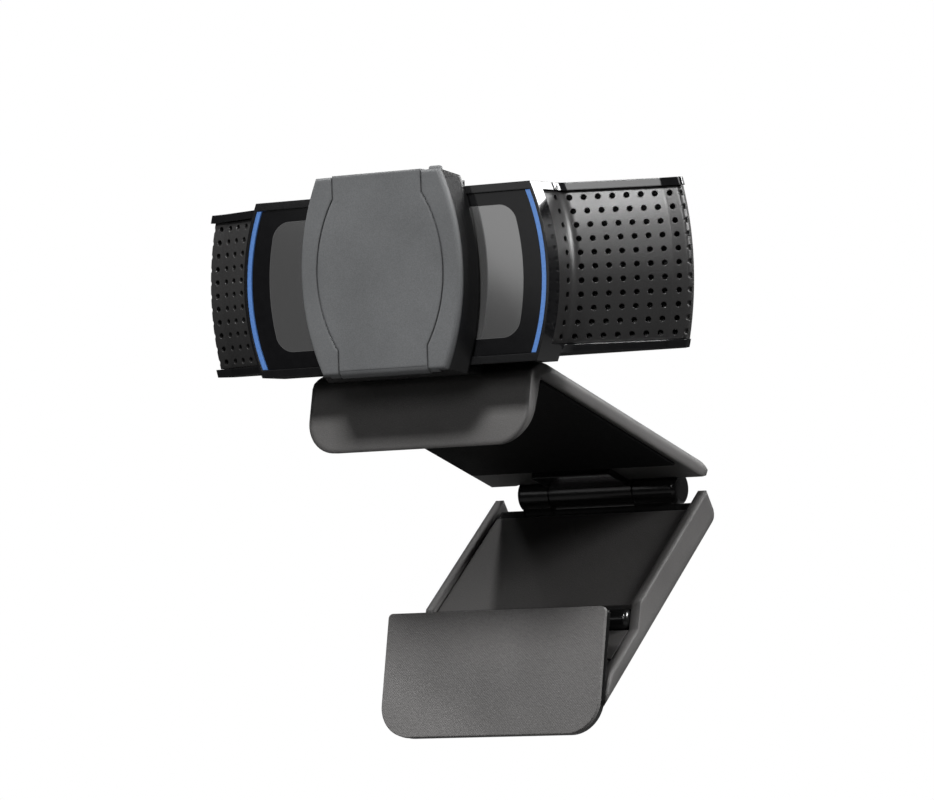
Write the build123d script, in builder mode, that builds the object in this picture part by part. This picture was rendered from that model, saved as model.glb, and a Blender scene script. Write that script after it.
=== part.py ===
from build123d import *
from math import atan2, cos, degrees, hypot, radians, sin
import os

# Webcam on a folding monitor clip, modelled piece by piece.
# The origin is the inside corner of the clip, where the top edge of a screen sits.
# X runs across the camera, Y runs from the face to the back, Z is up.

os.makedirs("parts", exist_ok=True)

# ---- camera head ------------------------------------------------------------
face_y = -10.5             # front plane of the face
bow_radius = 37.0          # bow of the face sides, hole columns and head ends
block_half = 28.9          # centre block, at mid height
block_height = 28.9
block_depth = 7.0          # depth over which the block stands full height
block_z = 16.45
wing_height = 27.5
wing_z = 17.2
root_half = 28.5           # bend where a grille leaves the block: x and depth
root_depth = 8.9
ridge_half = 43.3          # slight ridge near the end of a grille
ridge_depth = 15.1
nose_half = 47.4           # rounded end of the head
nose_depth = 15.9
rear_half = 45.0           # joint between front and rear shells
split_depth = 18.6
head_depth = 24.3
skin = 1.5                 # shell wall
trim = 1.3                 # gloss rim above and below grilles and face
fit = 0.1                  # gap between pieces that drop into each other

# ---- face, lights and lens --------------------------------------------------
light_half = 28.3
light_width = 0.8
face_thickness = 1.6
lens_ring_radius = 8.4
barrel_radius = 6.1
board_depth = 14.9

# ---- grilles ----------------------------------------------------------------
grille_wall = 1.2
grille_recess = 0.4
hole_pitch = 2.25
hole_radius = 0.47
hole_rows = 11

# ---- privacy shutter --------------------------------------------------------
shutter_y = face_y - 4.5   # front of the closed shutter
shutter_top = 33.9
shutter_bottom = 1.5
flap_half_end = 8.3
flap_half_mid = 11.8
flap_thickness = 1.4
flap_gap = 0.2
flap_pin_y = shutter_y + 1.25
flap_pin_z = 2.1
flap_knuckle_radius = 1.2
flap_pin_radius = 0.45

# ---- clip -------------------------------------------------------------------
clip_half = 20.8
clip_corner = 5.6          # rounded lower corners of lip and foot
lip_angle = 13.0           # lean of the lip and of the foot plate
arm_angle = 16.4           # fall of the arm towards the back
arm_thickness = 3.2
tilt_y = 2.0               # tilt hinge of the head
tilt_z = 3.5
tilt_radius = 2.4
tilt_pin_radius = 0.9
leg_y = 57.5               # rear hinge
leg_z = -18.0
leg_knuckle_radius = 3.0
leg_pin_radius = 1.2
leg_barrel_half = 15.6
knuckle_left = -9.2
knuckle_right = 7.3
knuckle_gap = 0.2
leg_angle = 36.0           # fall of the leg towards the front
leg_wall = 1.6
leg_depth = 6.7            # rear hinge line to the outer face
bar_place = 34.7           # cross bar, along the leg
bar_drop = 2.2
bar_radius = 1.95
bay_drop = 2.8             # floor of the bay that takes the folded foot
foot_place = 50.2          # foot hinge, along the leg
foot_drop = 4.0
foot_turn = 90.0 - lip_angle - leg_angle   # opening of the foot from its folded place
foot_above = 12.6          # plate above and below its hinge
foot_below = 8.7
foot_standoff = 1.35
foot_plate_thickness = 1.35
foot_pad_thickness = 0.9
foot_knuckle_radius = 1.7
foot_pin_radius = 0.7
thread_place = 19.0        # tripod thread, along the leg
thread_radius = 3.175      # 1/4 inch thread
thread_length = 4.6


bow_centre = block_half - bow_radius     # x of the axis that all bows share


def save(piece, name):
    """Label a finished piece and write it."""
    piece.part.label = name
    export_step(piece.part, f"parts/{name}.step")


def front_plane(depth, middle_z):
    """Plane facing the front, at a depth behind the face."""
    return Plane(origin=(0, face_y + depth, middle_z), x_dir=(1, 0, 0), z_dir=(0, -1, 0))


def side_plane(x):
    """Plane facing +X, with Y to its right and Z up."""
    return Plane(origin=(x, 0, 0), x_dir=(0, 1, 0), z_dir=(1, 0, 0))


def across(outline, start, end, hole=None):
    """Side-view outline of (y, z) points, extruded along X from start to end."""
    with BuildPart() as prism:
        with BuildSketch(side_plane(start)):
            with BuildLine():
                Polyline(*outline, close=True)
            make_face()
            if hole:
                with Locations(hole[0]):
                    Circle(hole[1], mode=Mode.SUBTRACT)
        extrude(amount=end - start)
    return prism.part


def rod(centre, radius, start, end, bore=0.0, rounding=0.0):
    """Round bar along X about a (y, z) centre."""
    with BuildPart() as bar:
        with BuildSketch(side_plane(start)):
            with Locations(centre):
                Circle(radius)
                if bore:
                    Circle(bore, mode=Mode.SUBTRACT)
        extrude(amount=end - start)
        if rounding:
            rims = bar.edges().filter_by(GeomType.CIRCLE)
            fillet(rims.filter_by(lambda rim: rim.radius > radius - 0.01), rounding)
    return bar.part


def bowed_face(half_width, height):
    """Front view with a flat top and bottom and bowed sides."""
    top = height / 2
    bow = half_width - bow_centre
    corner = bow_centre + (bow**2 - top**2) ** 0.5
    with BuildSketch() as view:
        with BuildLine():
            Line((-corner, top), (corner, top))
            ThreePointArc((corner, top), (half_width, 0), (corner, -top))
            Line((corner, -top), (-corner, -top))
            ThreePointArc((-corner, -top), (-half_width, 0), (-corner, top))
        make_face()
    return view.sketch


def bowed_slab(half_width, height, middle_z, near, far):
    """Bowed front view between two depths behind the face."""
    with BuildPart() as slab:
        with BuildSketch(front_plane(far, middle_z)):
            add(bowed_face(half_width, height))
        extrude(amount=far - near)
    return slab.part


def wing_line(inset):
    """Front line of a wing in plan, from the block to the rear joint: x, depth behind the face."""
    points = (
        (root_half, 3.4), (root_half + 0.4, root_depth), (ridge_half, ridge_depth),
        (nose_half, nose_depth), (rear_half, split_depth),
    )
    sides = []
    for (x, depth), (next_x, next_depth) in zip(points, points[1:]):
        run = hypot(next_x - x, next_depth - depth)
        slope = ((next_x - x) / run, (next_depth - depth) / run)
        sides.append((slope, (x - slope[1] * inset, depth + slope[0] * inset)))
    line = [(root_half - inset, 3.4)]
    for (slope, start), (next_slope, next_start) in zip(sides, sides[1:]):
        turn = slope[0] * next_slope[1] - slope[1] * next_slope[0]
        gap = (next_start[0] - start[0], next_start[1] - start[1])
        step = (gap[0] * next_slope[1] - gap[1] * next_slope[0]) / turn
        line.append((start[0] + slope[0] * step, start[1] + slope[1] * step))
    slope, start = sides[-1]
    line.append((start[0] + slope[0] * (split_depth - start[1]) / slope[1], split_depth))
    return line


def bowed_wing(outline, height, roundings=()):
    """Plan outline of one wing, turned about the bow axis and cut to a height."""
    lean = 25.0
    tilt = (cos(radians(lean)), 0, -sin(radians(lean)))
    turned = Plane(origin=(bow_centre, 0, wing_z), x_dir=tilt, z_dir=(sin(radians(lean)), 0, cos(radians(lean))))
    points = [(x - bow_centre, face_y + depth) for x, depth in outline]
    corners = roundings or [0.0] * (len(points) - 2)
    with BuildPart() as wing:
        with BuildSketch(turned):
            with BuildLine():
                FilletPolyline(*points, radius=corners)
                Line(points[-1], points[0])
            make_face()
        revolve(axis=Axis((bow_centre, 0, wing_z), (0, -1, 0)), revolution_arc=2 * lean)
        with BuildSketch(Plane.XY.offset(wing_z - height / 2)):
            with Locations((0, face_y + split_depth / 2)):
                Rectangle(4 * nose_half, 3 * split_depth)
        extrude(amount=height, mode=Mode.INTERSECT)
    return wing.part


def head_front(inset):
    """Envelope of the front half of the head, set in on every outer side."""
    line = wing_line(inset)
    outline = ((bow_centre + 0.5, line[0][1]), *line, (bow_centre + 0.5, split_depth))
    wing = bowed_wing(outline, wing_height - 2 * inset, (0.0, 2.0, 1.5, 0.7 - inset * 0.3, 0.0))
    with BuildPart() as envelope:
        add(bowed_slab(block_half - inset, block_height - 2 * inset, block_z, inset, block_depth))
        add(bowed_slab(block_half - inset, wing_height - 2 * inset, wing_z, block_depth, split_depth))
        add(wing)
        mirror(wing, about=Plane.YZ)
    return envelope.part


def head_rear(inset):
    """Envelope of the rear half of the head, domed in plan and from the side."""
    back = face_y + head_depth - inset
    joint = face_y + split_depth
    side = rear_half - inset
    with BuildPart() as envelope:
        with BuildSketch(Plane.XY.offset(wing_z - wing_height / 2)):
            with BuildLine():
                Polyline((-side, joint + 0.7), (-side, joint), (side, joint), (side, joint + 0.7))
                ThreePointArc((side, joint + 0.7), (0, back), (-side, joint + 0.7))
            make_face()
        extrude(amount=wing_height)
        with BuildSketch(side_plane(-nose_half)):
            with Locations((joint - 6.0, wing_z)):
                RectangleRounded(2 * (head_depth - split_depth - inset + 6.0), wing_height - 2 * inset, 6.0 - inset)
        extrude(amount=2 * nose_half, mode=Mode.INTERSECT)
        with BuildSketch(front_plane(head_depth + 1, wing_z)):
            add(bowed_face(side - 0.05, wing_height + 1))
        extrude(amount=head_depth + 1, mode=Mode.INTERSECT)
    return envelope.part


# ---- front shell ------------------------------------------------------------
# Gloss black frame of the head, open for the face and both grilles, and for the tilt
# hinge below.
face_opening = block_height - 2 * trim
with BuildPart() as front_shell:
    add(head_front(0))
    add(head_front(skin), mode=Mode.SUBTRACT)
    add(bowed_slab(block_half - 0.5, block_height - 1, block_z, 1.0, 3.2))
    add(bowed_slab(light_half + 0.05, face_opening, block_z, -1, 1.9), mode=Mode.SUBTRACT)
    add(bowed_slab(light_half - 1.6, face_opening - 2.6, block_z, 0, 4), mode=Mode.SUBTRACT)
    grille_space = bowed_wing(
        ((root_half - 1.8, 3.4), (60, 3.4), (60, split_depth), (root_half - 1.8, split_depth)),
        wing_height - 2 * trim,
    )
    add(grille_space, mode=Mode.SUBTRACT)
    mirror(grille_space, about=Plane.YZ, mode=Mode.SUBTRACT)
    with Locations((0, tilt_y, tilt_z)):
        Box(18.0, 8.4, 8.0, mode=Mode.SUBTRACT)
save(front_shell, "front_shell")

# ---- rear shell -------------------------------------------------------------
# Matt black back cover with a round hole for the cable inlet.
inlet_z = 20.0
inlet_radius = 3.0
with BuildPart() as rear_shell:
    add(head_rear(0))
    add(head_rear(skin), mode=Mode.SUBTRACT)
    with BuildSketch(front_plane(head_depth + 1, inlet_z)):
        Circle(inlet_radius)
    extrude(amount=5, mode=Mode.SUBTRACT)
save(rear_shell, "rear_shell")

# ---- cable inlet ------------------------------------------------------------
# Rubber bush in the back cover that the cable passes through.
with BuildPart() as cable_inlet:
    with BuildSketch(front_plane(head_depth + 0.9, inlet_z)):
        Circle(inlet_radius + 0.9)
        Circle(1.9, mode=Mode.SUBTRACT)
    extrude(amount=0.85)
    with BuildSketch(front_plane(head_depth + 0.05, inlet_z)):
        Circle(inlet_radius - 0.05)
        Circle(1.9, mode=Mode.SUBTRACT)
    extrude(amount=2.6)
    fillet(cable_inlet.edges().group_by(Axis.Y)[-1], 0.35)
save(cable_inlet, "cable_inlet")

# ---- face plate and light guides --------------------------------------------
# Gloss cover with a round hole for the lens ring, between two bowed light guides.
face_half = light_half - light_width - fit
with BuildPart() as face_plate:
    add(bowed_slab(face_half, face_opening - fit, block_z, 0.25, 0.25 + face_thickness))
    with BuildSketch(front_plane(2.5, block_z)):
        Circle(lens_ring_radius + fit)
    extrude(amount=3, mode=Mode.SUBTRACT)
save(face_plate, "face_plate")

for side, name in ((1, "right_light_guide"), (-1, "left_light_guide")):
    with BuildPart() as light_guide:
        add(bowed_slab(light_half, face_opening - fit, block_z, 0.1, 1.85))
        add(bowed_slab(light_half - light_width, face_opening, block_z, 0, 2), mode=Mode.SUBTRACT)
        split(bisect_by=Plane.YZ, keep=Keep.TOP if side > 0 else Keep.BOTTOM)
    save(light_guide, name)

# Strip of white LEDs behind each light guide.
for side, name in ((1, "right_light_board"), (-1, "left_light_board")):
    with BuildPart() as light_board:
        with Locations((side * 23.6, face_y + 3.75, block_z)):
            Box(2.6, 0.8, 18.0)
        with Locations(*[(side * 23.6, face_y + 3.3, block_z + step) for step in (-6.0, 0.0, 6.0)]):
            Box(1.6, 0.1, 1.6)
    save(light_board, name)

# ---- inner chassis ----------------------------------------------------------
# Moulded plate behind the face that centres the lens barrel. Four posts carry the board.
board_posts = ((-19.0, 13.0), (19.0, 13.0), (-19.0, 26.0), (19.0, 26.0))
with BuildPart() as chassis:
    add(bowed_slab(root_half - 2.0, wing_height - 2 * skin - 2 * fit, wing_z, 4.3, 5.6))
    with BuildSketch(front_plane(6, block_z)):
        Circle(barrel_radius + fit)
    extrude(amount=3, mode=Mode.SUBTRACT)
    with BuildSketch(front_plane(board_depth, 0)):
        with Locations(*board_posts):
            Circle(2.0)
    extrude(amount=board_depth - 5.0)
    with BuildSketch(front_plane(board_depth, 0)):
        with Locations(*board_posts):
            Circle(0.8)
    extrude(amount=6, mode=Mode.SUBTRACT)
save(chassis, "chassis")

# ---- lens -------------------------------------------------------------------
# Chamfered ring around the lens, and the threaded barrel that holds two glasses.
with BuildPart() as lens_ring:
    with BuildSketch(Plane(origin=(0, face_y, block_z), x_dir=(1, 0, 0), z_dir=(0, 0, 1))):
        with BuildLine():
            Polyline(
                (6.2, 1.1), (7.6, -0.1), (8.1, -0.1), (lens_ring_radius, 0.3),
                (lens_ring_radius, 2.2), (6.2, 2.2), close=True,
            )
        make_face()
    revolve(axis=Axis((0, face_y, block_z), (0, 1, 0)))
save(lens_ring, "lens_ring")

with BuildPart() as lens_barrel:
    with BuildSketch(front_plane(9.0, block_z)):
        Circle(barrel_radius)
        Circle(3.85, mode=Mode.SUBTRACT)
    extrude(amount=7.8)
    with BuildSketch(front_plane(4.0, block_z)):
        Circle(5.3)
    extrude(amount=4, mode=Mode.SUBTRACT)
    with BuildSketch(front_plane(9.0, block_z)):
        Circle(4.0)
        Circle(2.4, mode=Mode.SUBTRACT)
    extrude(amount=1.0)
save(lens_barrel, "lens_barrel")


def glass(radius, near, far, crown):
    """Round glass, flat behind and crowned in front."""
    with BuildPart() as disc:
        with BuildSketch(Plane(origin=(0, face_y, block_z), x_dir=(1, 0, 0), z_dir=(0, 0, 1))):
            with BuildLine():
                Polyline((radius, near + crown), (radius, far), (0, far), (0, near))
                ThreePointArc((0, near), (radius * 0.5, near + crown * 0.27), (radius, near + crown))
            make_face()
        revolve(axis=Axis((0, face_y, block_z), (0, 1, 0)))
    return disc.part


with BuildPart() as front_glass:
    add(glass(5.25, 1.5, 3.9, 1.0))
save(front_glass, "front_glass")

with BuildPart() as rear_glass:
    add(glass(3.8, 5.4, 7.4, 0.8))
save(rear_glass, "rear_glass")

# Voice-coil block that moves the barrel, then filter, sensor and board.
with BuildPart() as focus_coil:
    with BuildSketch(front_plane(13.1, block_z)):
        RectangleRounded(12.2, 12.2, 1.2)
        Circle(3.2, mode=Mode.SUBTRACT)
    extrude(amount=4.0)
save(focus_coil, "focus_coil")

with BuildPart() as infrared_filter:
    with BuildSketch(front_plane(13.5, block_z)):
        Rectangle(6.6, 6.6)
    extrude(amount=0.3)
save(infrared_filter, "infrared_filter")

with BuildPart() as image_sensor:
    with BuildSketch(front_plane(board_depth, block_z)):
        Rectangle(7.6, 7.6)
    extrude(amount=1.0)
save(image_sensor, "image_sensor")

with BuildPart() as main_board:
    with BuildSketch(front_plane(board_depth + 1.2, 19.5)):
        RectangleRounded(44.0, 17.6, 1.5)
    extrude(amount=1.2)
    with BuildSketch(front_plane(board_depth + 1.5, 0)):
        with Locations(*board_posts):
            Circle(1.05)
    extrude(amount=2, mode=Mode.SUBTRACT)
save(main_board, "main_board")

with BuildPart() as board_chips:
    with BuildSketch(front_plane(board_depth + 2.3, 19.5)):
        with Locations((-7.5, 2.0)):
            Rectangle(8.0, 8.0)
        with Locations((5.0, 3.2), (11.5, -2.5)):
            Rectangle(5.0, 6.0)
        with Locations((0.0, -4.2)):
            Rectangle(3.0, 2.4)
    extrude(amount=1.1)
save(board_chips, "board_chips")

with BuildPart() as board_screws:
    with BuildSketch(front_plane(board_depth + 2.2, 0)):
        with Locations(*board_posts):
            Circle(1.6)
    extrude(amount=1.0)
    with BuildSketch(front_plane(board_depth + 1.2, 0)):
        with Locations(*board_posts):
            Circle(0.8)
    extrude(amount=5.0)
save(board_screws, "board_screws")

with BuildPart() as shield_plate:
    with BuildSketch(front_plane(board_depth + 4.4, 19.5)):
        RectangleRounded(42.0, 15.0, 1.5)
        with Locations((-15, 4), (15, 4), (-15, -4), (15, -4)):
            Circle(1.2, mode=Mode.SUBTRACT)
    extrude(amount=0.5)
save(shield_plate, "shield_plate")

# ---- grilles ----------------------------------------------------------------
# Perforated matt wings in front of the microphones, with woven cloth behind them.
# Hole columns follow the bow, and hole rows are level.


def wing_strip(near, far, height):
    """Right-hand strip between two insets of the wing line."""
    outer = wing_line(near)
    inner = wing_line(far)
    outline = (
        (outer[0][0], 3.4 + fit), *outer[1:4], (outer[4][0], split_depth - fit),
        (inner[4][0], split_depth - fit), *reversed(inner[1:4]), (inner[0][0], 3.4 + fit),
    )
    return bowed_wing(outline, height, (2.0, 1.5, 0.7, 0.0, 0.0, 0.3, 0.5, 1.2))


def hole_places():
    """Plan places of the hole columns, from the block outwards: x, depth, facing angle."""
    bend, ridge, nose = wing_line(grille_recess)[1:4]
    places = [(bend[0] - 0.1, bend[1] - 1.9, 80.0)]
    for start, end, columns, first, pitch in ((bend, ridge, 7, 1.1, hole_pitch), (ridge, nose, 2, 1.0, 1.9)):
        run = hypot(end[0] - start[0], end[1] - start[1])
        facing = degrees(atan2(end[1] - start[1], end[0] - start[0]))
        for column in range(columns):
            share = (first + column * pitch) / run
            places.append((start[0] + (end[0] - start[0]) * share, start[1] + (end[1] - start[1]) * share, facing))
    return places


def grille(height):
    """Right-hand grille with its holes."""
    with BuildPart() as wing:
        add(wing_strip(grille_recess, grille_recess + grille_wall, height))
        spots = []
        for row in range(hole_rows):
            rise = (row - (hole_rows - 1) / 2) * hole_pitch
            for x, depth, facing in hole_places():
                bow = x - bow_centre
                place = (bow_centre + (bow**2 - rise**2) ** 0.5, face_y + depth, wing_z + rise)
                facing_out = (sin(radians(facing)), -cos(radians(facing)), 0)
                spots.append(Plane(origin=place, z_dir=facing_out))
        with Locations(*spots):
            Cylinder(hole_radius, 2.4, mode=Mode.SUBTRACT)
    return wing.part


grille_height = wing_height - 2 * trim - 2 * fit
right_grille_part = grille(grille_height)
cloth_near = wing_line(grille_recess + grille_wall + 0.06)[1:3]
cloth_far = wing_line(grille_recess + grille_wall + 0.36)[1:3]
cloth_outline = (cloth_near[0], cloth_near[1], cloth_far[1], cloth_far[0])
right_cloth_part = bowed_wing(cloth_outline, grille_height - 1.0)
with BuildPart() as right_grille:
    add(right_grille_part)
save(right_grille, "right_grille")
with BuildPart() as left_grille:
    mirror(right_grille_part, about=Plane.YZ)
save(left_grille, "left_grille")
with BuildPart() as right_cloth:
    add(right_cloth_part)
save(right_cloth, "right_cloth")
with BuildPart() as left_cloth:
    mirror(right_cloth_part, about=Plane.YZ)
save(left_cloth, "left_cloth")

# Microphone capsule on its own small board, square to each wing.
for side, name in ((1, "right_microphone"), (-1, "left_microphone")):
    facing = (side * sin(radians(24.5)), -cos(radians(24.5)), 0)
    seat = (side * 36.4, face_y + 17.0, wing_z)
    with BuildPart() as microphone:
        with BuildSketch(Plane(origin=seat, x_dir=(0, 0, 1), z_dir=facing)):
            RectangleRounded(9.0, 8.0, 0.8)
        extrude(amount=0.9)
        with BuildSketch(Plane(origin=seat, x_dir=(0, 0, 1), z_dir=facing).offset(0.9)):
            RectangleRounded(3.8, 3.0, 0.3)
            Circle(0.4, mode=Mode.SUBTRACT)
        extrude(amount=1.0)
    save(microphone, name)

# ---- tilt hinge of the head -------------------------------------------------
# Steel yoke screwed inside the head. Its two ears hold the pin that the clip turns on.
ear_inner = 4.2
ear_outer = 8.4
lug_half = 4.0
floor_z = wing_z - wing_height / 2 + skin
yoke_screws = ((-10.6, tilt_y - 4.2), (10.6, tilt_y - 4.2), (-10.6, tilt_y + 4.2), (10.6, tilt_y + 4.2))
with BuildPart() as tilt_yoke:
    with BuildSketch(Plane.XY.offset(floor_z + 0.02)):
        with Locations((0, tilt_y)):
            RectangleRounded(25.0, 11.8, 1.5)
            Rectangle(2 * ear_inner, 6.6, mode=Mode.SUBTRACT)
        with Locations(*yoke_screws):
            Circle(0.85, mode=Mode.SUBTRACT)
    extrude(amount=1.4)
    for start in (-ear_outer, ear_inner):
        add(rod((tilt_y, tilt_z), tilt_radius, start, start + ear_outer - ear_inner))
        ear_foot = (
            (tilt_y - tilt_radius, tilt_z), (tilt_y + tilt_radius, tilt_z),
            (tilt_y + tilt_radius, floor_z + 0.5), (tilt_y - tilt_radius, floor_z + 0.5),
        )
        add(across(ear_foot, start, start + ear_outer - ear_inner))
    add(rod((tilt_y, tilt_z), tilt_pin_radius, -9, 9), mode=Mode.SUBTRACT)
save(tilt_yoke, "tilt_yoke")

with BuildPart() as tilt_pin:
    add(rod((tilt_y, tilt_z), tilt_pin_radius, -ear_outer, ear_outer, 0.0, 0.2))
save(tilt_pin, "tilt_pin")

with BuildPart() as yoke_screws_set:
    with BuildSketch(Plane.XY.offset(floor_z + 1.44)):
        with Locations(*yoke_screws):
            Circle(1.5)
    extrude(amount=0.9)
    with BuildSketch(Plane.XY.offset(floor_z + 0.02)):
        with Locations(*yoke_screws):
            Circle(0.8)
    extrude(amount=1.5)
save(yoke_screws_set, "yoke_screws")

# Friction washers between the ears and the lug of the clip.
with BuildPart() as tilt_washers:
    for start in (lug_half + 0.03, -ear_inner + 0.02):
        add(rod((tilt_y, tilt_z), 2.2, start, start + 0.15, tilt_pin_radius + 0.05))
save(tilt_washers, "tilt_washers")

# ---- privacy shutter --------------------------------------------------------
# Clip-on frame with flared side walls that hooks over the top and bottom of the head.


def barrel_outline(half_mid, half_end, low, high):
    """Front view with flat ends and bowed sides."""
    middle = (low + high) / 2
    with BuildSketch() as view:
        with BuildLine():
            Line((-half_end, high), (half_end, high))
            ThreePointArc((half_end, high), (half_mid, middle), (half_end, low))
            Line((half_end, low), (-half_end, low))
            ThreePointArc((-half_end, low), (-half_mid, middle), (-half_end, high))
        make_face()
    return view.sketch


def flared_shell(inset, near, far):
    """Solid between the front outline and the wider rear outline of the shutter frame."""
    with BuildPart() as flare:
        with BuildSketch(front_plane(near, 0)):
            add(barrel_outline(14.9 - inset, 11.4 - inset, shutter_bottom + inset, shutter_top - inset))
        with BuildSketch(front_plane(far, 0)):
            add(barrel_outline(16.1 - inset, 13.2 - inset, 0.5 + inset, 32.7 - inset))
        loft()
    return flare.part


def flap_outline(grow):
    """Flap: short straight ends and a bowed middle."""
    end = flap_half_end + grow
    mid = flap_half_mid + grow
    low, high = 5.3, 30.1
    with BuildSketch() as view:
        with BuildLine():
            Polyline((end, high), (end, shutter_top + grow), (-end, shutter_top + grow), (-end, high))
            ThreePointArc((-end, high), (-mid, 17.7), (-end, low))
            Polyline((-end, low), (-end, flap_pin_z), (end, flap_pin_z), (end, low))
            ThreePointArc((end, low), (mid, 17.7), (end, high))
        make_face()
    return view.sketch


shutter_depth = shutter_y - face_y
with BuildPart() as shutter_frame:
    add(flared_shell(0, shutter_depth, -0.05))
    fillet(shutter_frame.edges().filter_by(GeomType.BSPLINE, reverse=True).group_by(Axis.Y)[0], 0.5)
    add(flared_shell(1.3, shutter_depth + 1.4, 0.3), mode=Mode.SUBTRACT)
    for end in (-10.3, flap_half_end + flap_gap):
        add(rod((flap_pin_y, flap_pin_z), 1.15, end, end + 1.8))
    with Locations((0, face_y + 2.9, block_z + block_height / 2 + 0.75)):
        Box(21.0, 6.2, 1.4)
    with Locations((0, face_y + 2.4, block_z - block_height / 2 - 0.7)):
        Box(26.0, 5.2, 1.3)
    with BuildSketch(front_plane(shutter_depth + 2.2, 0)):
        add(flap_outline(flap_gap))
    extrude(amount=4, mode=Mode.SUBTRACT)
    with Locations((0, shutter_y + 1.0, flap_pin_z - 0.6)):
        Box(2 * (flap_half_end + flap_gap), 3.4, 4.6, mode=Mode.SUBTRACT)
    add(rod((flap_pin_y, flap_pin_z), flap_pin_radius, -11, 11), mode=Mode.SUBTRACT)
save(shutter_frame, "shutter_frame")

with BuildPart() as shutter_flap:
    with BuildSketch(front_plane(shutter_depth + flap_thickness, 0)):
        add(flap_outline(0))
    extrude(amount=flap_thickness)
    add(rod((flap_pin_y, flap_pin_z), flap_knuckle_radius, -flap_half_end, flap_half_end))
    add(rod((flap_pin_y, flap_pin_z), flap_pin_radius + 0.05, -11, 11), mode=Mode.SUBTRACT)
save(shutter_flap, "shutter_flap")

with BuildPart() as shutter_pin:
    add(rod((flap_pin_y, flap_pin_z), flap_pin_radius, -10.2, 10.2))
save(shutter_pin, "shutter_pin")

# ---- clip bracket -----------------------------------------------------------
# One moulding: the lip that hangs in front of the screen and the arm that lies on it.
# A lug on top carries the head, and the rear is scooped out for the hinge barrel.


def arm_point(along, up):
    """Point (y, z) along the underside of the arm, and up from it."""
    fall = radians(arm_angle)
    return (along * cos(fall) + up * sin(fall), -along * sin(fall) + up * cos(fall))


lip_bottom = -10.9
lip_front_top = -3.3
lip_front_low = lip_front_top - (1.0 - lip_bottom) * sin(radians(lip_angle)) / cos(radians(lip_angle))
side_view = (
    (0, 0), arm_point(57.6, 0), arm_point(58.9, 0.6), arm_point(59.3, 1.7), arm_point(57.4, arm_thickness),
    arm_point(4.4, arm_thickness), (0.4, 2.3), (-1.4, 1.6), (-2.7, 0.9), (lip_front_top, 0.0),
    (lip_front_low, lip_bottom), (lip_front_low + 1.3, lip_bottom), (-0.2, -0.35),
)
with BuildPart() as clip_bracket:
    add(across(side_view, -clip_half, clip_half))
    top_edges = clip_bracket.edges().filter_by(lambda edge: edge.length > 45).group_by(Axis.Z)[-1]
    fillet(top_edges, 1.8)
    with BuildSketch(front_plane(12.0, 0)):
        for side in (-1, 1):
            with Locations((side * clip_half, lip_bottom)):
                Rectangle(2 * clip_corner, 2 * clip_corner)
            with Locations((side * (clip_half - clip_corner), lip_bottom + clip_corner)):
                Circle(clip_corner, mode=Mode.SUBTRACT)
    extrude(amount=16, mode=Mode.SUBTRACT)
    add(rod((tilt_y, tilt_z), tilt_radius + 0.3, -ear_outer - 0.4, ear_outer + 0.4), mode=Mode.SUBTRACT)
    add(rod((tilt_y, tilt_z), tilt_radius, -lug_half, lug_half))
    lug_foot = ((tilt_y - 1.9, tilt_z), (tilt_y + 1.9, tilt_z), (tilt_y + 1.9, 0.3), (tilt_y - 1.9, 0.6))
    add(across(lug_foot, -lug_half, lug_half))
    add(rod((tilt_y, tilt_z), tilt_pin_radius + 0.05, -9, 9), mode=Mode.SUBTRACT)
    add(rod((leg_y, leg_z), leg_knuckle_radius + 0.3, -leg_barrel_half - 0.3, knuckle_left), mode=Mode.SUBTRACT)
    add(rod((leg_y, leg_z), leg_knuckle_radius, knuckle_left, knuckle_right), mode=Mode.SUBTRACT)
    add(rod((leg_y, leg_z), leg_knuckle_radius + 0.3, knuckle_right, leg_barrel_half + 0.3), mode=Mode.SUBTRACT)
save(clip_bracket, "clip_bracket")

# Rubber pads that grip the screen: one behind the lip, one under the arm.
with BuildPart() as lip_pad:
    back = atan2(lip_bottom + 0.35, lip_front_low + 1.3 + 0.2)
    along = (cos(back), sin(back))
    out = (-sin(back) * 0.5, cos(back) * 0.5)
    near, far = 1.4, 9.6
    start = (-0.2, -0.35)
    pad = [
        (start[0] + along[0] * step + out[0] * lift, start[1] + along[1] * step + out[1] * lift)
        for step, lift in ((near, 0.04), (far, 0.04), (far, 1.0), (near, 1.0))
    ]
    add(across(pad, -clip_half + 4, clip_half - 4))
save(lip_pad, "lip_pad")

with BuildPart() as arm_pad:
    pad = (arm_point(2, -0.02), arm_point(49, -0.02), arm_point(49, -0.5), arm_point(2, -0.5))
    add(across(pad, -clip_half + 0.9, clip_half - 0.9))
save(arm_pad, "arm_pad")

# ---- rear hinge -------------------------------------------------------------
# Centre knuckle on a flat foot, screwed under the arm.
pivot = (leg_y, leg_z)
with BuildPart() as arm_knuckle:
    add(rod(pivot, leg_knuckle_radius, knuckle_left + knuckle_gap / 2, knuckle_right - knuckle_gap / 2))
    knuckle_foot = (
        arm_point(50.2, -0.02), arm_point(56.6, -0.02), (leg_y, leg_z + 1.0), (leg_y, leg_z - 1.0),
        (leg_y - 2.6, leg_z + 0.6), arm_point(50.2, -1.2),
    )
    add(across(knuckle_foot, knuckle_left + 0.6, knuckle_right - 0.6))
    add(rod(pivot, leg_pin_radius + 0.05, -16, 16), mode=Mode.SUBTRACT)
save(arm_knuckle, "arm_knuckle")

with BuildPart() as leg_hinge_pin:
    add(rod(pivot, leg_pin_radius, -leg_barrel_half + 0.6, leg_barrel_half - 0.6, 0.0, 0.25))
save(leg_hinge_pin, "leg_hinge_pin")


def leg_point(along, up):
    """Point (y, z) down the leg from the rear hinge, and up from the hinge line."""
    fall = radians(leg_angle)
    return (
        leg_y - along * cos(fall) - up * sin(fall),
        leg_z - along * sin(fall) + up * cos(fall),
    )


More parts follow.
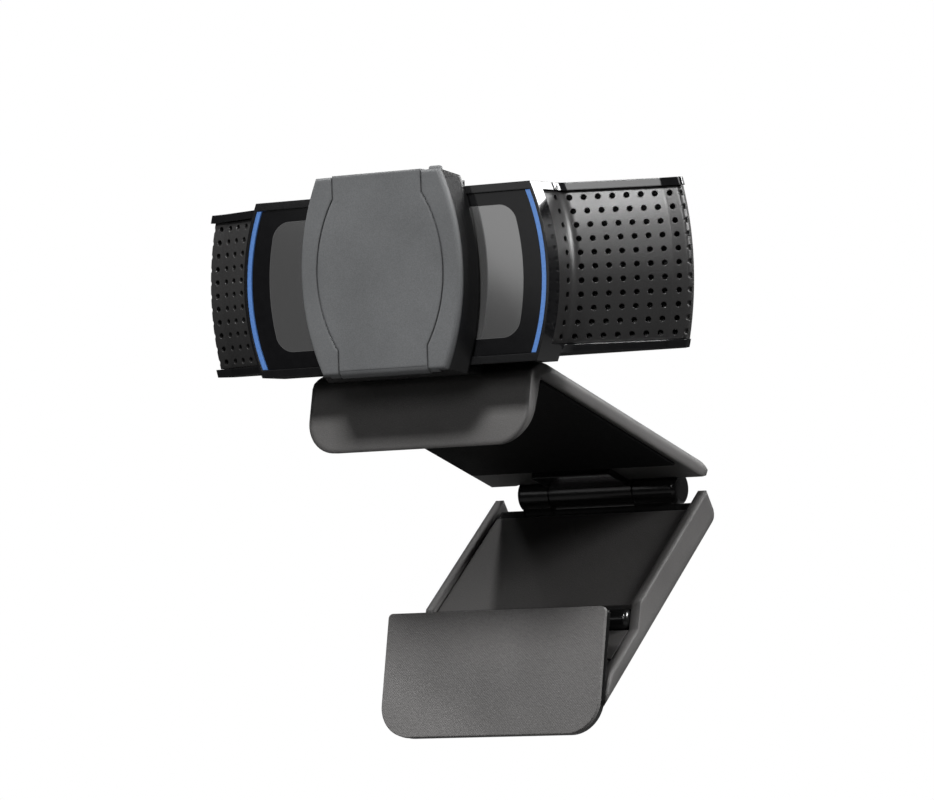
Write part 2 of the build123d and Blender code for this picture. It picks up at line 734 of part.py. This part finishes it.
def leg_shape(*points):
    """Side-view outline given in leg coordinates."""
    return [leg_point(along, up) for along, up in points]


# Two outer knuckles with rounded ends, on a base that is fixed between the leg walls.
left_end = knuckle_left - knuckle_gap / 2
right_end = knuckle_right + knuckle_gap / 2
with BuildPart() as leg_knuckles:
    add(rod(pivot, leg_knuckle_radius, -leg_barrel_half, left_end))
    add(rod(pivot, leg_knuckle_radius, right_end, leg_barrel_half))
    rims = leg_knuckles.edges().filter_by(GeomType.CIRCLE).group_by(lambda rim: round(abs(rim.center().X), 2))
    fillet(rims[-1], 0.9)
    knuckle_web = leg_shape((0, -2.6), (4.2, -2.6), (4.2, -0.75), (1.0, -0.75))
    add(across(knuckle_web, -leg_barrel_half + 1.0, left_end))
    add(across(knuckle_web, right_end, leg_barrel_half - 1.0))
    add(across(leg_shape((3.5, -5.0), (5.5, -5.0), (5.5, -0.75), (3.5, -0.75)), -18.9, 18.9))
    add(rod(pivot, leg_pin_radius, -leg_barrel_half + 0.6, leg_barrel_half - 0.6), mode=Mode.SUBTRACT)
save(leg_knuckles, "leg_knuckles")

# ---- leg --------------------------------------------------------------------
# Channel moulding with rounded outer edges. Its lower end is cut back for the foot.
leg_side = leg_shape(
    (1.2, 0.1), (32.8, 0.1), (33.6, -0.6), (36.6, -bay_drop), (48.3, -bay_drop), (50.0, -3.3), (52.2, -4.6),
    (53.2, -5.8), (53.0, -leg_depth), (3.6, -leg_depth), (1.9, -5.6), (1.2, -4.0),
)
inner_half = clip_half - leg_wall
with BuildPart() as leg_shell:
    add(across(leg_side, -clip_half, clip_half))
    back_edges = leg_shell.edges().filter_by(lambda edge: edge.length > 48 and abs(edge.center().X) > 20)
    fillet(back_edges.sort_by(Axis.Z)[:2], 2.2)
    add(across(leg_shape((2.6, -5.1), (60, -5.1), (60, 5), (2.6, 5)), -inner_half, inner_half), mode=Mode.SUBTRACT)
    add(across(leg_shape((-6, -8), (3.4, -8), (3.4, 5), (-6, 5)), -inner_half, inner_half), mode=Mode.SUBTRACT)
    boss = leg_shape((44.8, -5.2), (44.8, -3.0), (50.4, -2.9), (51.3, -3.6), (52.4, -5.2))
    for start in (-inner_half - 0.1, 14.9):
        add(across(boss, start, start + inner_half - 14.8))
    for start in (-14.5, 9.3):
        add(across(leg_shape((46.9, -9), (46.9, 0), (56, 0), (56, -9)), start, start + 5.2), mode=Mode.SUBTRACT)
    thread_plane = Plane(origin=(0, *leg_point(thread_place, -leg_depth)), x_dir=(1, 0, 0),
                         z_dir=(0, sin(radians(leg_angle)) * -1, cos(radians(leg_angle))))
    with BuildSketch(thread_plane):
        Circle(6.0)
    extrude(amount=4.6)
    with BuildSketch(thread_plane):
        Circle(4.25)
    extrude(amount=8, both=True, mode=Mode.SUBTRACT)
    add(rod(leg_point(foot_place, -foot_drop), foot_pin_radius, -19.0, 19.0), mode=Mode.SUBTRACT)
save(leg_shell, "leg_shell")

# Brass bush with the tripod thread, flush with the back of the leg.
with BuildPart() as tripod_bush:
    with BuildSketch(thread_plane):
        Circle(4.2)
        Circle(thread_radius, mode=Mode.SUBTRACT)
    extrude(amount=thread_length)
save(tripod_bush, "tripod_bush")

with BuildPart() as leg_cover:
    add(across(leg_shape((5.6, -1.9), (32.5, -1.9), (32.5, -0.7), (5.6, -0.7)), -inner_half + fit, inner_half - fit))
save(leg_cover, "leg_cover")

with BuildPart() as cross_bar:
    add(rod(leg_point(bar_place, -bar_drop), bar_radius, -inner_half + fit, inner_half - fit, 0.0, 0.9))
save(cross_bar, "cross_bar")

with BuildPart() as bay_floor:
    add(across(leg_shape((36.8, -4.0), (44.6, -4.0), (44.6, -bay_drop), (36.8, -bay_drop)), -inner_half + fit, inner_half - fit))
save(bay_floor, "bay_floor")

# ---- foot -------------------------------------------------------------------
# Flat plate that presses on the back of the screen, with a rubber face and two lugs.
foot_hinge = leg_point(foot_place, -foot_drop)


def foot_point(above, out):
    """Point (y, z) up the foot plate from its hinge, and out towards the screen."""
    rise = radians(leg_angle + foot_turn)
    return (
        foot_hinge[0] + above * cos(rise) - out * sin(rise),
        foot_hinge[1] + above * sin(rise) + out * cos(rise),
    )


def foot_shape(*points):
    """Side-view outline given in foot coordinates."""
    return [foot_point(above, out) for above, out in points]


def foot_slab(near, far, inset):
    """Plate of the foot between two distances from the hinge, with rounded lower corners."""
    rise = radians(leg_angle + foot_turn)
    seat = Plane(origin=(0, *foot_point(0, near)), x_dir=(1, 0, 0), z_dir=(0, -sin(rise), cos(rise)))
    half = clip_half - inset
    with BuildPart() as plate:
        with BuildSketch(seat):
            with BuildLine():
                FilletPolyline(
                    (-1, foot_above - inset), (-half, foot_above - inset), (-half, inset - foot_below),
                    (half, inset - foot_below), (half, foot_above - inset), (1, foot_above - inset),
                    radius=[0.8, clip_corner, clip_corner, 0.8],
                )
                Line((1, foot_above - inset), (-1, foot_above - inset))
            make_face()
        extrude(amount=far - near)
    return plate.part


plate_front = foot_standoff + foot_plate_thickness
with BuildPart() as foot_plate:
    add(foot_slab(foot_standoff, plate_front, 0.15))
    for start in (-14.3, 9.5):
        add(rod(foot_hinge, foot_knuckle_radius, start, start + 4.8))
        lug = foot_shape((-foot_knuckle_radius, 0), (-foot_knuckle_radius, 1.6), (foot_knuckle_radius, 1.6), (foot_knuckle_radius, 0))
        add(across(lug, start, start + 4.8))
    add(rod(foot_hinge, foot_pin_radius + 0.05, -16, 16), mode=Mode.SUBTRACT)
save(foot_plate, "foot_plate")

with BuildPart() as foot_pad:
    add(foot_slab(plate_front + 0.02, plate_front + foot_pad_thickness, 0.0))
save(foot_pad, "foot_pad")

with BuildPart() as foot_hinge_pin:
    add(rod(foot_hinge, foot_pin_radius, -18.9, 18.9))
save(foot_hinge_pin, "foot_hinge_pin")
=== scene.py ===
import bpy
from math import radians, sin, cos
from mathutils import Matrix, Vector


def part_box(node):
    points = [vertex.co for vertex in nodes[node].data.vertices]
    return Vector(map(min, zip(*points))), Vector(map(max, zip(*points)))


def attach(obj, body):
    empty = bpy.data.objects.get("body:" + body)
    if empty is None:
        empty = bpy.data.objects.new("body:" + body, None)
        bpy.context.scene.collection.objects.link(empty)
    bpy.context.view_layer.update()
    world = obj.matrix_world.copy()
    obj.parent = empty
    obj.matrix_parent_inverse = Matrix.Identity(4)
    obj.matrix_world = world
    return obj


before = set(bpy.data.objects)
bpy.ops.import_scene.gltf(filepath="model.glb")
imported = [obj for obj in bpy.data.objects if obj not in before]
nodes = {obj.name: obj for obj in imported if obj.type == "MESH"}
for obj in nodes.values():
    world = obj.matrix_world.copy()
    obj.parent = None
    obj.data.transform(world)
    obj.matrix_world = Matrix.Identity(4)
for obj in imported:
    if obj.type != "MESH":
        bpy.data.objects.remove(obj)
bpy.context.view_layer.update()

# ---- camera -----------------------------------------------------------------
# A long lens, turned 30 degrees towards +X and a little below the head. It leans slightly
# to one side.
turn, rise, roll = radians(30.0), radians(-2.22), radians(2.23)
right = Vector((cos(turn), sin(turn), 0))
back = Vector((sin(turn) * cos(rise), -cos(turn) * cos(rise), sin(rise)))
above = back.cross(right)
lens_right = right * cos(roll) - above * sin(roll)
lens_up = right * sin(roll) + above * cos(roll)
placed = Matrix((lens_right, lens_up, back)).transposed().to_4x4()
placed.translation = (0.4329, -0.7381, -0.0362)
camera = bpy.data.objects.new("camera", bpy.data.cameras.new("camera"))
camera.data.lens = 201
camera.data.sensor_width = 36
camera.data.clip_start = 0.01
camera.matrix_world = placed
bpy.context.scene.collection.objects.link(camera)
bpy.context.scene.camera = camera

# ---- studio -----------------------------------------------------------------
# Seven soft boxes around the webcam, which is held in the air over a plain floor. Floor and
# room are white only to the camera's eye, and throw little light on the black plastic.


def soft_box(name, place, target, width, height, power):
    """Rectangular lamp at a place, turned to face a target."""
    lamp = bpy.data.objects.new(name, bpy.data.lights.new(name, "AREA"))
    lamp.data.shape = "RECTANGLE"
    lamp.data.size = width
    lamp.data.size_y = height
    lamp.data.energy = power
    lamp.location = place
    lamp.rotation_euler = (Vector(target) - Vector(place)).to_track_quat("-Z", "Y").to_euler()
    bpy.context.scene.collection.objects.link(lamp)
    return lamp


def new_surface(name):
    """New material, with its node tree and its surface node."""
    material = bpy.data.materials.new(name)
    material.use_nodes = True
    tree = material.node_tree
    return material, tree, tree.nodes["Principled BSDF"]


def show_to_camera(tree, shown, lit, end):
    """Show one shader to the camera and let another one light the scene."""
    seen = tree.nodes.new("ShaderNodeLightPath")
    mixed = tree.nodes.new("ShaderNodeMixShader")
    tree.links.new(seen.outputs["Is Camera Ray"], mixed.inputs[0])
    tree.links.new(lit.outputs[0], mixed.inputs[1])
    tree.links.new(shown.outputs[0], mixed.inputs[2])
    tree.links.new(mixed.outputs[0], end.inputs["Surface"])


soft_box("high_left_box", (-0.40, -0.22, 0.92), (0, 0, -0.02), 0.07, 0.07, 6.5)
soft_box("front_high_box", (0.10, -0.80, 0.98), (0, 0, 0), 0.40, 0.22, 18)
soft_box("front_box", (0.32, -1.05, 0.45), (0, 0, 0.01), 0.55, 0.35, 2.6)
soft_box("right_box", (0.95, 0.25, 0.50), (0, 0.02, -0.02), 0.20, 0.40, 12)
soft_box("top_box", (-0.62, 0.02, 0.70), (0, 0, 0), 0.20, 0.10, 0.7)
soft_box("back_box", (0.50, 1.10, 0.65), (0, 0.03, -0.01), 0.50, 0.50, 9)
face_box = soft_box("face_box", (-0.454, -0.90, 0.175), (0, -0.01, 0.017), 0.50, 0.20, 0.20)
face_box.rotation_euler.rotate_axis("Z", radians(-28))

white = (1, 1, 1, 1)
bpy.ops.mesh.primitive_plane_add(size=12, location=(0, 2, -0.30))
floor = bpy.context.object
floor.name = "floor"
paper, tree, surface = new_surface("paper")
surface.inputs["Base Color"].default_value = (0.10, 0.10, 0.10, 1)
surface.inputs["Roughness"].default_value = 0.9
glow = tree.nodes.new("ShaderNodeEmission")
glow.inputs["Color"].default_value = white
show_to_camera(tree, glow, surface, tree.nodes["Material Output"])
floor.data.materials.append(paper)

room = bpy.data.worlds.new("room")
room.use_nodes = True
tree = room.node_tree
bright = tree.nodes["Background"]
bright.inputs["Color"].default_value = white
dim = tree.nodes.new("ShaderNodeBackground")
dim.inputs["Color"].default_value = white
dim.inputs["Strength"].default_value = 0.035
show_to_camera(tree, bright, dim, tree.nodes["World Output"])
bpy.context.scene.world = room
bpy.context.scene.view_settings.view_transform = "Standard"

# ---- front shell ------------------------------------------------------------
# Frame of the head in polished black plastic, moulded in one with its thin rims.
# Its corners are slightly rounded and shine, and it carries faint rubbing marks.


def new_group(name, takes, gives):
    """Empty shader group with named sockets, and its two end nodes."""
    group = bpy.data.node_groups.new(name, "ShaderNodeTree")
    for label, kind, value in takes:
        socket = group.interface.new_socket(name=label, in_out="INPUT", socket_type=kind)
        socket.default_value = value
    for label, kind in gives:
        group.interface.new_socket(name=label, in_out="OUTPUT", socket_type=kind)
    return group, group.nodes.new("NodeGroupInput"), group.nodes.new("NodeGroupOutput")


def put(tree, kind, settings=None, **inputs):
    """New node, with its settings and its input values or links."""
    node = tree.nodes.new(kind)
    for name, value in (settings or {}).items():
        setattr(node, name, value)
    for name, value in inputs.items():
        socket = node.inputs[int(name[1:])] if name[1:].isdigit() else node.inputs[name.replace("_", " ")]
        if isinstance(value, bpy.types.NodeSocket):
            tree.links.new(value, socket)
        else:
            socket.default_value = value
    return node


def maths(tree, operation, *values):
    """Result of one sum on numbers or links."""
    places = {f"_{place}": value for place, value in enumerate(values)}
    return put(tree, "ShaderNodeMath", {"operation": operation}, **places).outputs[0]


def remap(tree, value, **limits):
    """Value carried from one range to another."""
    return put(tree, "ShaderNodeMapRange", Value=value, **limits).outputs[0]


def object_place(tree):
    """Place on the piece, in metres."""
    return put(tree, "ShaderNodeTexCoord").outputs["Object"]


def object_axes(tree):
    """The same place, split into X, Y and Z."""
    return put(tree, "ShaderNodeSeparateXYZ", Vector=object_place(tree)).outputs


# Moulded plastic: fine spark grain, slow drift of tone, and corners that are rounded
# and rubbed a little brighter and smoother.
FLOAT, COLOUR, VECTOR = "NodeSocketFloat", "NodeSocketColor", "NodeSocketVector"
moulded, given, out = new_group(
    "moulded_plastic",
    (("Colour", COLOUR, (0.05, 0.05, 0.05, 1)), ("Roughness", FLOAT, 0.4), ("Grain Scale", FLOAT, 4000.0),
     ("Grain Depth", FLOAT, 0.2), ("Corner", FLOAT, 0.0003), ("Wear", FLOAT, 0.3)),
    (("Colour", COLOUR), ("Roughness", FLOAT), ("Normal", VECTOR)),
)
where = object_place(moulded)
grain = put(moulded, "ShaderNodeTexNoise", Vector=where, Scale=given.outputs["Grain Scale"], Detail=3.0)
pores = put(moulded, "ShaderNodeTexVoronoi", Vector=where, Scale=given.outputs["Grain Scale"])
drift = put(moulded, "ShaderNodeTexNoise", Vector=where, Scale=70.0, Detail=4.0)
rubbed = put(moulded, "ShaderNodeTexNoise", Vector=where, Scale=420.0, Detail=5.0, Roughness=0.7)
rounded = put(moulded, "ShaderNodeBevel", {"samples": 6}, Radius=given.outputs["Corner"])
flat = put(moulded, "ShaderNodeNewGeometry")
same = put(moulded, "ShaderNodeVectorMath", {"operation": "DOT_PRODUCT"},
           _0=rounded.outputs[0], _1=flat.outputs["Normal"])
corner = remap(moulded, same.outputs["Value"], From_Min=0.995, From_Max=0.86)
broken = remap(moulded, rubbed.outputs[0], From_Min=0.42, From_Max=0.62)
worn = maths(moulded, "MULTIPLY", corner, broken)
worn = maths(moulded, "MULTIPLY", worn, given.outputs["Wear"])
tone = remap(moulded, drift.outputs[0], From_Min=0.3, From_Max=0.7, To_Min=0.9, To_Max=1.1)
speck = remap(moulded, grain.outputs[0], From_Min=0.3, From_Max=0.7, To_Min=0.86, To_Max=1.14)
toned = put(moulded, "ShaderNodeVectorMath", {"operation": "SCALE"},
            _0=given.outputs["Colour"], Scale=maths(moulded, "MULTIPLY", tone, speck))
lighter = put(moulded, "ShaderNodeVectorMath", {"operation": "MULTIPLY_ADD"},
              _0=given.outputs["Colour"], _1=(1.5, 1.5, 1.5), _2=(0.03, 0.03, 0.03))
final = put(moulded, "ShaderNodeMix", {"data_type": "VECTOR"},
            _0=worn, _4=toned.outputs[0], _5=lighter.outputs[0])
moulded.links.new(final.outputs[1], out.inputs["Colour"])
shade = remap(moulded, drift.outputs[0], From_Min=0.3, From_Max=0.7, To_Min=0.88, To_Max=1.15)
shade = maths(moulded, "MULTIPLY", shade, given.outputs["Roughness"])
shade = maths(moulded, "MULTIPLY_ADD", corner, -0.06, shade)
moulded.links.new(shade, out.inputs["Roughness"])
bump = put(moulded, "ShaderNodeBump", Strength=given.outputs["Grain Depth"], Distance=0.00012,
           Height=maths(moulded, "ADD", grain.outputs[0], pores.outputs["Distance"]),
           Normal=rounded.outputs[0])
moulded.links.new(bump.outputs[0], out.inputs["Normal"])


def moulded_finish(tree, colour, **values):
    """Moulded finish in a material's tree, with its colour and other values."""
    return put(tree, "ShaderNodeGroup", {"node_tree": moulded}, Colour=(*colour, 1), **values)


def wire(tree, surface, finish):
    """Let a finish drive the colour, roughness and normal of a surface."""
    for gives, takes in (("Colour", "Base Color"), ("Roughness", "Roughness"), ("Normal", "Normal")):
        tree.links.new(finish.outputs[gives], surface.inputs[takes])


def plastic(name, colour, roughness, grain_scale, grain_depth, corner_radius, wear, coat=0.0, specular=0.5):
    """Plastic with the moulded finish."""
    material, tree, surface = new_surface(name)
    finish = moulded_finish(tree, colour, Roughness=roughness, Grain_Scale=grain_scale,
                            Grain_Depth=grain_depth, Corner=corner_radius, Wear=wear)
    wire(tree, surface, finish)
    surface.inputs["Coat Weight"].default_value = coat
    surface.inputs["Coat Roughness"].default_value = 0.04
    surface.inputs["Specular IOR Level"].default_value = specular
    return material


def dress(material, *names):
    """Give CAD pieces their finish."""
    for name in names:
        nodes[name].data.materials.clear()
        nodes[name].data.materials.append(material)


polished_black = plastic("polished_black", (0.006, 0.006, 0.0065), 0.12, 900, 0.02, 0.00022, 0.15, coat=0.3)
dress(polished_black, "front_shell", "chassis")

# ---- rear shell and rubber parts --------------------------------------------
# Back cover in matt black plastic with a spark finish, the rubber bush in its hole, and
# the two pads of the clip. The arm pad is darker than other rubber: painted shade under the arm.
matt_black = plastic("matt_black", (0.014, 0.0135, 0.013), 0.46, 5200, 0.30, 0.0005, 0.35)
dress(matt_black, "rear_shell")
soft_rubber = plastic("soft_rubber", (0.022, 0.0215, 0.021), 0.68, 3600, 0.45, 0.0003, 0.2, specular=0.35)
dress(soft_rubber, "cable_inlet", "lip_pad")
# Painted shade: the arm pad's colour is darkened to stand for the shadow under the arm.
pad_painted_shade = plastic("pad_painted_shade", (0.006, 0.006, 0.006), 0.75, 3600, 0.45, 0.0003, 0.2, specular=0.15)
dress(pad_painted_shade, "arm_pad")

# Two rubber plugs cover the screws of the back cover. Each is a low dome with a dimple.
plug_radius, plug_depth, plug_aside = 0.0016, 0.0012, 0.021
plug_ring, plug_rise, dimple_depth = 0.0004, 0.0002, 0.0006
for side in (-1, 1):
    bpy.ops.object.select_all(action="DESELECT")
    bpy.ops.mesh.primitive_cylinder_add(vertices=40, radius=plug_radius, depth=plug_depth,
                                        rotation=(radians(90), 0, 0),
                                        location=(side * plug_aside, 0.01225, 0.0172))
    plug = bpy.context.object
    plug.name = "screw_plug_right" if side > 0 else "screw_plug_left"
    bpy.ops.object.transform_apply(location=True, rotation=True, scale=True)
    bpy.ops.object.mode_set(mode="EDIT")
    bpy.ops.mesh.select_mode(type="FACE")
    bpy.ops.mesh.select_all(action="DESELECT")
    bpy.ops.object.mode_set(mode="OBJECT")
    for face in plug.data.polygons:
        face.select = face.normal.y > 0.9
    bpy.ops.object.mode_set(mode="EDIT")
    bpy.ops.mesh.inset(thickness=plug_ring)
    bpy.ops.transform.translate(value=(0, plug_rise, 0))
    bpy.ops.mesh.inset(thickness=plug_ring)
    bpy.ops.mesh.extrude_region_move(TRANSFORM_OT_translate={"value": (0, -dimple_depth, 0)})
    bpy.ops.object.mode_set(mode="OBJECT")
    bpy.ops.object.shade_smooth_by_angle(angle=radians(30))
    plug.data.materials.append(soft_rubber)
    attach(plug, "head")

# ---- face plate -------------------------------------------------------------
# Smoked gloss cover. A silver-grey window with rounded corners is printed behind it on
# each side of the lens, and its outer edge bows with the height.
window_width, window_height, window_corner = 0.0240, 0.0107, 0.0025
window_bow, window_blur = 13.9, 0.00005
smoked, tree, surface = new_surface("smoked_face")
low, high_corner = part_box("face_plate")
middle = (low[2] + high_corner[2]) / 2 + 0.0003
place = object_axes(tree)
level = maths(tree, "SUBTRACT", place["Z"], middle)
bowed = maths(tree, "MULTIPLY", maths(tree, "POWER", level, 2.0), window_bow)
across_x = maths(tree, "ADD", maths(tree, "ABSOLUTE", place["X"]), bowed)
height_off = maths(tree, "ABSOLUTE", level)
beyond_x = maths(tree, "SUBTRACT", across_x, window_width - window_corner)
beyond_z = maths(tree, "SUBTRACT", height_off, window_height - window_corner)
off = put(tree, "ShaderNodeCombineXYZ", X=maths(tree, "MAXIMUM", beyond_x, 0.0),
          Y=maths(tree, "MAXIMUM", beyond_z, 0.0))
off = put(tree, "ShaderNodeVectorMath", {"operation": "LENGTH"}, _0=off.outputs[0])
window = remap(tree, off.outputs["Value"], From_Min=window_corner + window_blur,
               From_Max=window_corner - window_blur)
finish = moulded_finish(tree, (0.005, 0.005, 0.0055), Grain_Scale=900, Grain_Depth=0.0, Corner=0.00015)
flakes = put(tree, "ShaderNodeTexNoise", Scale=9000.0, Detail=2.0)
flake_tone = remap(tree, flakes.outputs[0], To_Min=0.27, To_Max=0.37)
flake_colour = put(tree, "ShaderNodeCombineColor", Red=flake_tone, Green=flake_tone, Blue=flake_tone)
printed = put(tree, "ShaderNodeMix", {"data_type": "RGBA"},
              _0=window, _6=finish.outputs["Colour"], _7=flake_colour.outputs[0])
tree.links.new(printed.outputs[2], surface.inputs["Base Color"])
tree.links.new(maths(tree, "MULTIPLY", window, 0.85), surface.inputs["Metallic"])
tree.links.new(remap(tree, window, To_Min=0.09, To_Max=0.07), surface.inputs["Roughness"])
tree.links.new(finish.outputs["Normal"], surface.inputs["Normal"])
surface.inputs["Specular IOR Level"].default_value = 0.4
dress(smoked, "face_plate")

# ---- light guides -----------------------------------------------------------
# Bowed strips of blue-tinted plastic with a faint painted glow, as if lit by the LEDs behind.
guide = plastic("blue_light_guide", (0.07, 0.16, 0.38), 0.22, 2500, 0.08, 0.00015, 0.1, coat=0.5)
surface = guide.node_tree.nodes["Principled BSDF"]
# Painted glow: the guides are no lamp, yet emit a little blue light.
surface.inputs["Emission Color"].default_value = (0.08, 0.20, 0.55, 1)
surface.inputs["Emission Strength"].default_value = 0.16
dress(guide, "right_light_guide", "left_light_guide")

# ---- grilles ----------------------------------------------------------------
# Perforated wings in satin black plastic, shaded as if slightly crowned from top to bottom.
# Woven black cloth lies behind the holes.
crown = -14.0
satin_black = plastic("satin_black", (0.024, 0.0235, 0.0235), 0.36, 5200, 0.16, 0.00018, 0.5)
tree = satin_black.node_tree
surface = tree.nodes["Principled BSDF"]
grained = surface.inputs["Normal"].links[0].from_socket
low, high_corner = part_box("right_grille")
level = maths(tree, "SUBTRACT", object_axes(tree)["Z"], (low[2] + high_corner[2]) / 2)
swell = maths(tree, "MULTIPLY", maths(tree, "MULTIPLY", level, level), crown)
crowned = put(tree, "ShaderNodeBump", Strength=1.0, Distance=1.0, Height=swell, Normal=grained)
tree.links.new(crowned.outputs[0], surface.inputs["Normal"])
dress(satin_black, "right_grille", "left_grille")

cloth, tree, surface = new_surface("woven_cloth")
weave = put(tree, "ShaderNodeTexChecker", Vector=object_place(tree), Scale=3200.0,
            Color1=(0.006, 0.006, 0.006, 1), Color2=(0.013, 0.013, 0.013, 1))
tree.links.new(weave.outputs["Color"], surface.inputs["Base Color"])
raised = put(tree, "ShaderNodeBump", Strength=0.5, Distance=0.0001, Height=weave.outputs["Fac"])
tree.links.new(raised.outputs[0], surface.inputs["Normal"])
surface.inputs["Roughness"].default_value = 0.9
dress(cloth, "right_cloth", "left_cloth")

# ---- lens -------------------------------------------------------------------
# Black ring and barrel, coated glasses, and the focus and sensor parts behind them.
lens_black = plastic("lens_black", (0.009, 0.009, 0.010), 0.28, 3000, 0.15, 0.0002, 0.5)
dress(lens_black, "lens_ring", "lens_barrel", "focus_coil", "board_chips", "image_sensor")
coated, tree, surface = new_surface("coated_glass")
surface.inputs["Transmission Weight"].default_value = 1.0
surface.inputs["IOR"].default_value = 1.6
edge = put(tree, "ShaderNodeLayerWeight", Blend=0.4)
tint = put(tree, "ShaderNodeMix", {"data_type": "RGBA"},
           _0=edge.outputs["Facing"], _6=(0.75, 0.8, 1.0, 1), _7=(0.55, 0.9, 0.7, 1))
tree.links.new(tint.outputs[2], surface.inputs["Base Color"])
smear = put(tree, "ShaderNodeTexNoise", Vector=object_place(tree), Scale=600.0)
tree.links.new(remap(tree, smear.outputs[0], To_Min=0.01, To_Max=0.06), surface.inputs["Roughness"])
dress(coated, "front_glass", "rear_glass", "infrared_filter")

# ---- boards, screws and hinge steel -----------------------------------------
# Green solder mask on the boards, and grained steel for the hinge, screws and pins.
board_green = plastic("solder_mask", (0.01, 0.07, 0.035), 0.35, 2000, 0.2, 0.0001, 0.3)
dress(board_green, "right_light_board", "left_light_board", "main_board", "right_microphone",
      "left_microphone")
steel, tree, surface = new_surface("brushed_steel")
wire(tree, surface, moulded_finish(tree, (0.42, 0.42, 0.43), Roughness=0.32, Grain_Scale=3000,
                                   Grain_Depth=0.2, Corner=0.0001))
surface.inputs["Metallic"].default_value = 1.0
dress(steel, "shield_plate", "board_screws", "tilt_yoke", "tilt_pin", "yoke_screws", "tilt_washers",
      "shutter_pin", "leg_hinge_pin", "foot_hinge_pin")

# ---- privacy shutter --------------------------------------------------------
# Front plate and flap in dark grey satin plastic. The flared side walls behind the plate
# are polished black.
shutter_grey = plastic("shutter_grey", (0.108, 0.111, 0.114), 0.55, 6500, 0.10, 0.0006, 0.15, specular=0.35)
dress(shutter_grey, "shutter_flap")
two_tone = shutter_grey.copy()
two_tone.name = "shutter_two_tone"
tree = two_tone.node_tree
surface = tree.nodes["Principled BSDF"]
grey_finish = surface.inputs["Base Color"].links[0].from_node
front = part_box("shutter_flap")[0][1]
behind = remap(tree, object_axes(tree)["Y"], From_Min=front + 0.00065, From_Max=front + 0.0010)
black = put(tree, "ShaderNodeMix", {"data_type": "RGBA"},
            _0=behind, _6=grey_finish.outputs["Colour"], _7=(0.012, 0.012, 0.0125, 1))
tree.links.new(black.outputs[2], surface.inputs["Base Color"])
tree.links.new(remap(tree, behind, To_Min=0.55, To_Max=0.24), surface.inputs["Roughness"])
dress(two_tone, "shutter_frame")

# Latch ridge on the top edge of the plate, in the same plastic. It is a low bar with
# rounded edges, for a fingernail.
low, high_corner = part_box("shutter_flap")
bpy.ops.object.select_all(action="DESELECT")
bpy.ops.mesh.primitive_cube_add(size=1, location=(0.0105, low[1] + 0.0013, high_corner[2] - 0.0002))
latch = bpy.context.object
latch.name = "latch_ridge"
latch.scale = (0.0022, 0.0012, 0.0012)
bpy.ops.object.transform_apply(location=True, rotation=True, scale=True)
bpy.ops.object.mode_set(mode="EDIT")
bpy.ops.mesh.select_all(action="SELECT")
bpy.ops.mesh.bevel(offset=0.0004, segments=4)
bpy.ops.object.mode_set(mode="OBJECT")
bpy.ops.object.shade_smooth_by_angle(angle=radians(40))
latch.data.materials.append(shutter_grey)
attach(latch, "head")

# ---- clip bracket -----------------------------------------------------------
# Lip and arm in one moulding of dark grey-brown plastic with rounded corners.
clip_grey = plastic("clip_grey", (0.082, 0.0795, 0.078), 0.48, 5200, 0.14, 0.0012, 0.25)
dress(clip_grey, "clip_bracket")

# ---- leg --------------------------------------------------------------------
# Channel in the same plastic, with darker covers, gloss black hinge knuckles and cross bar,
# and a brass bush for the tripod screw.
floor_grey = plastic("floor_grey", (0.055, 0.053, 0.052), 0.62, 5200, 0.20, 0.0003, 0.2, specular=0.2)
dress(clip_grey, "leg_shell")
dress(floor_grey, "leg_cover", "bay_floor")
hinge_black = plastic("hinge_black", (0.006, 0.006, 0.006), 0.20, 2500, 0.10, 0.0003, 0.3, coat=0.3)
dress(hinge_black, "leg_knuckles", "arm_knuckle", "cross_bar", "foot_plate")
brass, tree, surface = new_surface("turned_brass")
wire(tree, surface, moulded_finish(tree, (0.62, 0.44, 0.17), Roughness=0.28, Grain_Scale=2500))
surface.inputs["Metallic"].default_value = 1.0
dress(brass, "tripod_bush")

# ---- foot pad ---------------------------------------------------------------
# Grippy rubber sheet with a fine linen pattern, glued over the foot plate.
thread_pitch = 14000.0
linen, tree, surface = new_surface("linen_rubber")
place = object_axes(tree)
threads = [maths(tree, "SINE", maths(tree, "MULTIPLY", place[label], thread_pitch)) for label in ("X", "Z")]
weave = maths(tree, "MULTIPLY", *threads)
finish = moulded_finish(tree, (0.120, 0.1165, 0.115), Roughness=0.62, Grain_Scale=3000,
                        Grain_Depth=0.3, Corner=0.0003)
wire(tree, surface, finish)
toned = put(tree, "ShaderNodeVectorMath", {"operation": "SCALE"}, _0=finish.outputs["Colour"],
            Scale=remap(tree, weave, From_Min=-1.0, To_Min=0.93, To_Max=1.05))
tree.links.new(toned.outputs[0], surface.inputs["Base Color"])
raised = put(tree, "ShaderNodeBump", Strength=0.16, Distance=0.0001, Height=weave,
             Normal=finish.outputs["Normal"])
tree.links.new(raised.outputs[0], surface.inputs["Normal"])
surface.inputs["Specular IOR Level"].default_value = 0.3
dress(linen, "foot_pad")
